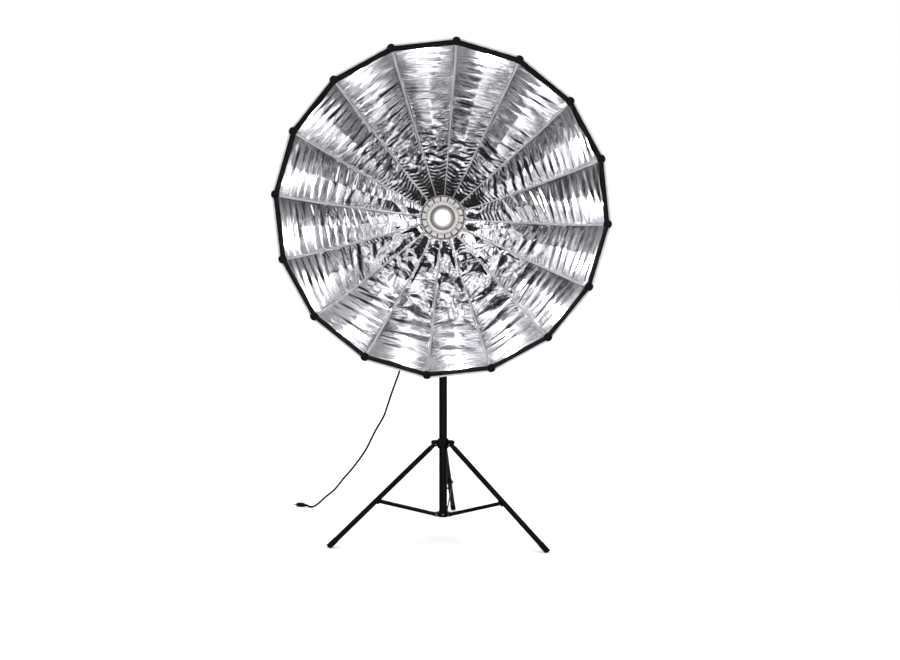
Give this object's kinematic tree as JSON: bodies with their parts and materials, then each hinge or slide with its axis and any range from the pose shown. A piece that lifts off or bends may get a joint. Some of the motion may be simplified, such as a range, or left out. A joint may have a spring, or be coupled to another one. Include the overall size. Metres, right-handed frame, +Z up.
{
  "type": "umbrella reflector",
  "caption": "Deep folding umbrella reflector with a crumpled silver lining, on a continuous lamp with a yoke, telescopic mast, folding tripod and mains lead.",
  "frame": {"origin": "centre of the box round the stand, lamp and reflector, at the floor, without the mains lead", "axes": "+Z up along the mast, -Y the way the reflector faces, +X to the right seen from the front"},
  "size_m": [1.3437, 1.4236, 1.9716],
  "materials": {
    "tube_black": "satin black anodised tube",
    "plastic_black": "fine-grained moulded black nylon",
    "pin_steel": "zinc-plated rivets and pins",
    "yoke_black": "black powder coat",
    "casing_black": "black powder coat",
    "dome_frosted": "frosted diffuser dome",
    "cord_rubber": "matt black rubber",
    "ring_grey": "pale grey moulded nylon",
    "rib_black": "black spring rod",
    "lining_silver": "crumpled metallised silver lining"
  },
  "bodies": {
    "stand": {"base_tube": "tube_black", "base_collar": "plastic_black", "brace_pins": "pin_steel", "mast_clamp": "plastic_black"},
    "collar": {"leg_collar": "plastic_black"},
    "leg_knob": {"leg_knob": "plastic_black"},
    "clamp_knob": {"clamp_knob": "plastic_black"},
    "leg_rear": {"leg_rear": "tube_black"},
    "brace_rear": {"brace_rear": "tube_black"},
    "leg_left": {"leg_left": "tube_black"},
    "brace_left": {"brace_left": "tube_black"},
    "leg_right": {"leg_right": "tube_black"},
    "brace_right": {"brace_right": "tube_black"},
    "mast": {"mast_tube": "tube_black"},
    "yoke": {"yoke": "yoke_black", "yoke_arms": "yoke_black", "cord": "cord_rubber", "mains_plug": "cord_rubber"},
    "yoke_knob": {"yoke_knob": "plastic_black"},
    "lever": {"tilt_lever": "plastic_black"},
    "lamp": {"lamp_housing": "casing_black", "lamp_mount": "casing_black", "glass_dome": "dome_frosted", "rear_panel": "plastic_black", "cord_gland": "cord_rubber"},
    "dial": {"control_dial": "plastic_black"},
    "hub": {"speed_ring": "ring_grey", "rib_pins": "pin_steel"},
    "rib_01": {"rib_01": "rib_black"},
    "gore_01": {"gore_01": "lining_silver"},
    "rib_02": {"rib_02": "rib_black"},
    "gore_02": {"gore_02": "lining_silver"},
    "rib_03": {"rib_03": "rib_black"},
    "gore_03": {"gore_03": "lining_silver"},
    "rib_04": {"rib_04": "rib_black"},
    "gore_04": {"gore_04": "lining_silver"},
    "rib_05": {"rib_05": "rib_black"},
    "gore_05": {"gore_05": "lining_silver"},
    "rib_06": {"rib_06": "rib_black"},
    "gore_06": {"gore_06": "lining_silver"},
    "rib_07": {"rib_07": "rib_black"},
    "gore_07": {"gore_07": "lining_silver"},
    "rib_08": {"rib_08": "rib_black"},
    "gore_08": {"gore_08": "lining_silver"},
    "rib_09": {"rib_09": "rib_black"},
    "gore_09": {"gore_09": "lining_silver"},
    "rib_10": {"rib_10": "rib_black"},
    "gore_10": {"gore_10": "lining_silver"},
    "rib_11": {"rib_11": "rib_black"},
    "gore_11": {"gore_11": "lining_silver"},
    "rib_12": {"rib_12": "rib_black"},
    "gore_12": {"gore_12": "lining_silver"},
    "rib_13": {"rib_13": "rib_black"},
    "gore_13": {"gore_13": "lining_silver"},
    "rib_14": {"rib_14": "rib_black"},
    "gore_14": {"gore_14": "lining_silver"},
    "rib_15": {"rib_15": "rib_black"},
    "gore_15": {"gore_15": "lining_silver"},
    "rib_16": {"rib_16": "rib_black"},
    "gore_16": {"gore_16": "lining_silver"}
  },
  "joints": [
    {"name": "leg_slide", "type": "slide", "parent": "stand", "child": "collar", "axis": [0, 0, 1], "range_m": [0, 0.298]},
    {"name": "leg_knob_turn", "type": "hinge", "parent": "collar", "child": "leg_knob", "pos_m": [-0.00349, 0.09868, 0.41], "axis": [-0.0872, -0.9962, 0], "range_deg": [-180, 0]},
    {"name": "clamp_knob_turn", "type": "hinge", "parent": "stand", "child": "clamp_knob", "pos_m": [0.04, 0.13853, 0.767], "axis": [1, 0, 0], "range_deg": [-180, 0]},
    {"name": "leg_rear_fold", "type": "hinge", "parent": "collar", "child": "leg_rear", "pos_m": [0.00349, 0.17838, 0.402], "axis": [-0.9962, 0.0872, 0], "range_deg": [0, 38.32]},
    {"name": "brace_rear_fold", "type": "hinge", "parent": "stand", "child": "brace_rear", "pos_m": [0.00349, 0.17838, 0.096], "axis": [0.9962, -0.0872, 0], "range_deg": [0, 59.17]},
    {"name": "leg_left_fold", "type": "hinge", "parent": "collar", "child": "leg_left", "pos_m": [-0.03625, 0.12162, 0.402], "axis": [0.4226, -0.9063, 0], "range_deg": [0, 38.32]},
    {"name": "brace_left_fold", "type": "hinge", "parent": "stand", "child": "brace_left", "pos_m": [-0.03625, 0.12162, 0.096], "axis": [-0.4226, 0.9063, 0], "range_deg": [0, 59.17]},
    {"name": "leg_right_fold", "type": "hinge", "parent": "collar", "child": "leg_right", "pos_m": [0.03277, 0.11559, 0.402], "axis": [0.5736, 0.8192, 0], "range_deg": [0, 38.32]},
    {"name": "brace_right_fold", "type": "hinge", "parent": "stand", "child": "brace_right", "pos_m": [0.03277, 0.11559, 0.096], "axis": [-0.5736, -0.8192, 0], "range_deg": [0, 59.17]},
    {"name": "mast_slide", "type": "slide", "parent": "stand", "child": "mast", "axis": [0, 0, 1], "range_m": [-0.34, 0], "deforming": ["cord"]},
    {"name": "pan", "type": "hinge", "parent": "mast", "child": "yoke", "pos_m": [0, 0.13853, 1.2], "axis": [0, 0, 1], "continuous": true},
    {"name": "yoke_knob_turn", "type": "hinge", "parent": "yoke", "child": "yoke_knob", "pos_m": [-0.025, 0.13853, 1.2], "axis": [-1, 0, 0], "range_deg": [-180, 0]},
    {"name": "tilt_lever_turn", "type": "hinge", "parent": "yoke", "child": "lever", "pos_m": [0.09, 0.13853, 1.365], "axis": [1, 0, 0], "range_deg": [0, 80]},
    {"name": "tilt", "type": "hinge", "parent": "yoke", "child": "lamp", "pos_m": [0, 0.13853, 1.365], "axis": [1, 0, 0], "range_deg": [-60, 40], "deforming": ["cord"]},
    {"name": "dial_turn", "type": "hinge", "parent": "lamp", "child": "dial", "pos_m": [0.026, 0.24353, 1.385], "axis": [0, 1, 0], "range_deg": [0, 270]},
    {"name": "bayonet_twist", "type": "hinge", "parent": "lamp", "child": "hub", "pos_m": [0, -0.10647, 1.365], "axis": [0, -1, 0], "range_deg": [0, 26]},
    {"name": "rib_01_fold", "type": "hinge", "parent": "hub", "child": "rib_01", "pos_m": [0.00676, -0.10047, 1.4407], "axis": [0.996, 0, -0.0889], "range_deg": [0, 40]},
    {"name": "gore_01_fold", "type": "hinge", "parent": "hub", "child": "gore_01", "pos_m": [0.02098, -0.10047, 1.43653], "axis": [0.9596, 0, -0.2815], "range_deg": [0, 40], "deforming": ["gore_01"]},
    {"name": "rib_02_fold", "type": "hinge", "parent": "hub", "child": "rib_02", "pos_m": [0.03521, -0.10047, 1.43235], "axis": [0.8862, 0, -0.4633], "range_deg": [0, 40]},
    {"name": "gore_02_fold", "type": "hinge", "parent": "hub", "child": "gore_02", "pos_m": [0.04676, -0.10047, 1.42305], "axis": [0.7788, 0, -0.6273], "range_deg": [0, 40], "deforming": ["gore_02"]},
    {"name": "rib_03_fold", "type": "hinge", "parent": "hub", "child": "rib_03", "pos_m": [0.05831, -0.10047, 1.41375], "axis": [0.6414, 0, -0.7672], "range_deg": [0, 40]},
    {"name": "gore_03_fold", "type": "hinge", "parent": "hub", "child": "gore_03", "pos_m": [0.06541, -0.10047, 1.40074], "axis": [0.4795, 0, -0.8776], "range_deg": [0, 40], "deforming": ["gore_03"]},
    {"name": "rib_04_fold", "type": "hinge", "parent": "hub", "child": "rib_04", "pos_m": [0.07252, -0.10047, 1.38773], "axis": [0.299, 0, -0.9542], "range_deg": [0, 40]},
    {"name": "gore_04_fold", "type": "hinge", "parent": "hub", "child": "gore_04", "pos_m": [0.07411, -0.10047, 1.37299], "axis": [0.1071, 0, -0.9942], "range_deg": [0, 40], "deforming": ["gore_04"]},
    {"name": "rib_05_fold", "type": "hinge", "parent": "hub", "child": "rib_05", "pos_m": [0.0757, -0.10047, 1.35824], "axis": [-0.0889, 0, -0.996], "range_deg": [0, 40]},
    {"name": "gore_05_fold", "type": "hinge", "parent": "hub", "child": "gore_05", "pos_m": [0.07153, -0.10047, 1.34402], "axis": [-0.2815, 0, -0.9596], "range_deg": [0, 40], "deforming": ["gore_05"]},
    {"name": "rib_06_fold", "type": "hinge", "parent": "hub", "child": "rib_06", "pos_m": [0.06735, -0.10047, 1.32979], "axis": [-0.4633, 0, -0.8862], "range_deg": [0, 40]},
    {"name": "gore_06_fold", "type": "hinge", "parent": "hub", "child": "gore_06", "pos_m": [0.05805, -0.10047, 1.31824], "axis": [-0.6273, 0, -0.7788], "range_deg": [0, 40], "deforming": ["gore_06"]},
    {"name": "rib_07_fold", "type": "hinge", "parent": "hub", "child": "rib_07", "pos_m": [0.04875, -0.10047, 1.30669], "axis": [-0.7672, 0, -0.6414], "range_deg": [0, 40]},
    {"name": "gore_07_fold", "type": "hinge", "parent": "hub", "child": "gore_07", "pos_m": [0.03574, -0.10047, 1.29959], "axis": [-0.8776, 0, -0.4795], "range_deg": [0, 40], "deforming": ["gore_07"]},
    {"name": "rib_08_fold", "type": "hinge", "parent": "hub", "child": "rib_08", "pos_m": [0.02273, -0.10047, 1.29248], "axis": [-0.9542, 0, -0.299], "range_deg": [0, 40]},
    {"name": "gore_08_fold", "type": "hinge", "parent": "hub", "child": "gore_08", "pos_m": [0.00799, -0.10047, 1.29089], "axis": [-0.9942, 0, -0.1071], "range_deg": [0, 40], "deforming": ["gore_08"]},
    {"name": "rib_09_fold", "type": "hinge", "parent": "hub", "child": "rib_09", "pos_m": [-0.00676, -0.10047, 1.2893], "axis": [-0.996, 0, 0.0889], "range_deg": [0, 40]},
    {"name": "gore_09_fold", "type": "hinge", "parent": "hub", "child": "gore_09", "pos_m": [-0.02098, -0.10047, 1.29347], "axis": [-0.9596, 0, 0.2815], "range_deg": [0, 40], "deforming": ["gore_09"]},
    {"name": "rib_10_fold", "type": "hinge", "parent": "hub", "child": "rib_10", "pos_m": [-0.03521, -0.10047, 1.29765], "axis": [-0.8862, 0, 0.4633], "range_deg": [0, 40]},
    {"name": "gore_10_fold", "type": "hinge", "parent": "hub", "child": "gore_10", "pos_m": [-0.04676, -0.10047, 1.30695], "axis": [-0.7788, 0, 0.6273], "range_deg": [0, 40], "deforming": ["gore_10"]},
    {"name": "rib_11_fold", "type": "hinge", "parent": "hub", "child": "rib_11", "pos_m": [-0.05831, -0.10047, 1.31625], "axis": [-0.6414, 0, 0.7672], "range_deg": [0, 40]},
    {"name": "gore_11_fold", "type": "hinge", "parent": "hub", "child": "gore_11", "pos_m": [-0.06541, -0.10047, 1.32926], "axis": [-0.4795, 0, 0.8776], "range_deg": [0, 40], "deforming": ["gore_11"]},
    {"name": "rib_12_fold", "type": "hinge", "parent": "hub", "child": "rib_12", "pos_m": [-0.07252, -0.10047, 1.34227], "axis": [-0.299, 0, 0.9542], "range_deg": [0, 40]},
    {"name": "gore_12_fold", "type": "hinge", "parent": "hub", "child": "gore_12", "pos_m": [-0.07411, -0.10047, 1.35701], "axis": [-0.1071, 0, 0.9942], "range_deg": [0, 40], "deforming": ["gore_12"]},
    {"name": "rib_13_fold", "type": "hinge", "parent": "hub", "child": "rib_13", "pos_m": [-0.0757, -0.10047, 1.37176], "axis": [0.0889, 0, 0.996], "range_deg": [0, 40]},
    {"name": "gore_13_fold", "type": "hinge", "parent": "hub", "child": "gore_13", "pos_m": [-0.07153, -0.10047, 1.38598], "axis": [0.2815, 0, 0.9596], "range_deg": [0, 40], "deforming": ["gore_13"]},
    {"name": "rib_14_fold", "type": "hinge", "parent": "hub", "child": "rib_14", "pos_m": [-0.06735, -0.10047, 1.40021], "axis": [0.4633, 0, 0.8862], "range_deg": [0, 40]},
    {"name": "gore_14_fold", "type": "hinge", "parent": "hub", "child": "gore_14", "pos_m": [-0.05805, -0.10047, 1.41176], "axis": [0.6273, 0, 0.7788], "range_deg": [0, 40], "deforming": ["gore_14"]},
    {"name": "rib_15_fold", "type": "hinge", "parent": "hub", "child": "rib_15", "pos_m": [-0.04875, -0.10047, 1.42331], "axis": [0.7672, 0, 0.6414], "range_deg": [0, 40]},
    {"name": "gore_15_fold", "type": "hinge", "parent": "hub", "child": "gore_15", "pos_m": [-0.03574, -0.10047, 1.43041], "axis": [0.8776, 0, 0.4795], "range_deg": [0, 40], "deforming": ["gore_15"]},
    {"name": "rib_16_fold", "type": "hinge", "parent": "hub", "child": "rib_16", "pos_m": [-0.02273, -0.10047, 1.43752], "axis": [0.9542, 0, 0.299], "range_deg": [0, 40]},
    {"name": "gore_16_fold", "type": "hinge", "parent": "hub", "child": "gore_16", "pos_m": [-0.00799, -0.10047, 1.43911], "axis": [0.9942, 0, 0.1071], "range_deg": [0, 40], "deforming": ["gore_16"]}
  ],
  "couplings": [
    {"joint": "leg_rear_fold", "follows": "leg_slide", "rad_per_m": 2.2434},
    {"joint": "brace_rear_fold", "follows": "leg_slide", "rad_per_m": 3.4642},
    {"joint": "leg_left_fold", "follows": "leg_slide", "rad_per_m": 2.2434},
    {"joint": "brace_left_fold", "follows": "leg_slide", "rad_per_m": 3.4642},
    {"joint": "leg_right_fold", "follows": "leg_slide", "rad_per_m": 2.2434},
    {"joint": "brace_right_fold", "follows": "leg_slide", "rad_per_m": 3.4642},
    {"joint": "gore_01_fold", "follows": "rib_01_fold", "ratio": 1},
    {"joint": "rib_02_fold", "follows": "rib_01_fold", "ratio": 1},
    {"joint": "gore_02_fold", "follows": "rib_01_fold", "ratio": 1},
    {"joint": "rib_03_fold", "follows": "rib_01_fold", "ratio": 1},
    {"joint": "gore_03_fold", "follows": "rib_01_fold", "ratio": 1},
    {"joint": "rib_04_fold", "follows": "rib_01_fold", "ratio": 1},
    {"joint": "gore_04_fold", "follows": "rib_01_fold", "ratio": 1},
    {"joint": "rib_05_fold", "follows": "rib_01_fold", "ratio": 1},
    {"joint": "gore_05_fold", "follows": "rib_01_fold", "ratio": 1},
    {"joint": "rib_06_fold", "follows": "rib_01_fold", "ratio": 1},
    {"joint": "gore_06_fold", "follows": "rib_01_fold", "ratio": 1},
    {"joint": "rib_07_fold", "follows": "rib_01_fold", "ratio": 1},
    {"joint": "gore_07_fold", "follows": "rib_01_fold", "ratio": 1},
    {"joint": "rib_08_fold", "follows": "rib_01_fold", "ratio": 1},
    {"joint": "gore_08_fold", "follows": "rib_01_fold", "ratio": 1},
    {"joint": "rib_09_fold", "follows": "rib_01_fold", "ratio": 1},
    {"joint": "gore_09_fold", "follows": "rib_01_fold", "ratio": 1},
    {"joint": "rib_10_fold", "follows": "rib_01_fold", "ratio": 1},
    {"joint": "gore_10_fold", "follows": "rib_01_fold", "ratio": 1},
    {"joint": "rib_11_fold", "follows": "rib_01_fold", "ratio": 1},
    {"joint": "gore_11_fold", "follows": "rib_01_fold", "ratio": 1},
    {"joint": "rib_12_fold", "follows": "rib_01_fold", "ratio": 1},
    {"joint": "gore_12_fold", "follows": "rib_01_fold", "ratio": 1},
    {"joint": "rib_13_fold", "follows": "rib_01_fold", "ratio": 1},
    {"joint": "gore_13_fold", "follows": "rib_01_fold", "ratio": 1},
    {"joint": "rib_14_fold", "follows": "rib_01_fold", "ratio": 1},
    {"joint": "gore_14_fold", "follows": "rib_01_fold", "ratio": 1},
    {"joint": "rib_15_fold", "follows": "rib_01_fold", "ratio": 1},
    {"joint": "gore_15_fold", "follows": "rib_01_fold", "ratio": 1},
    {"joint": "rib_16_fold", "follows": "rib_01_fold", "ratio": 1},
    {"joint": "gore_16_fold", "follows": "rib_01_fold", "ratio": 1}
  ]
}
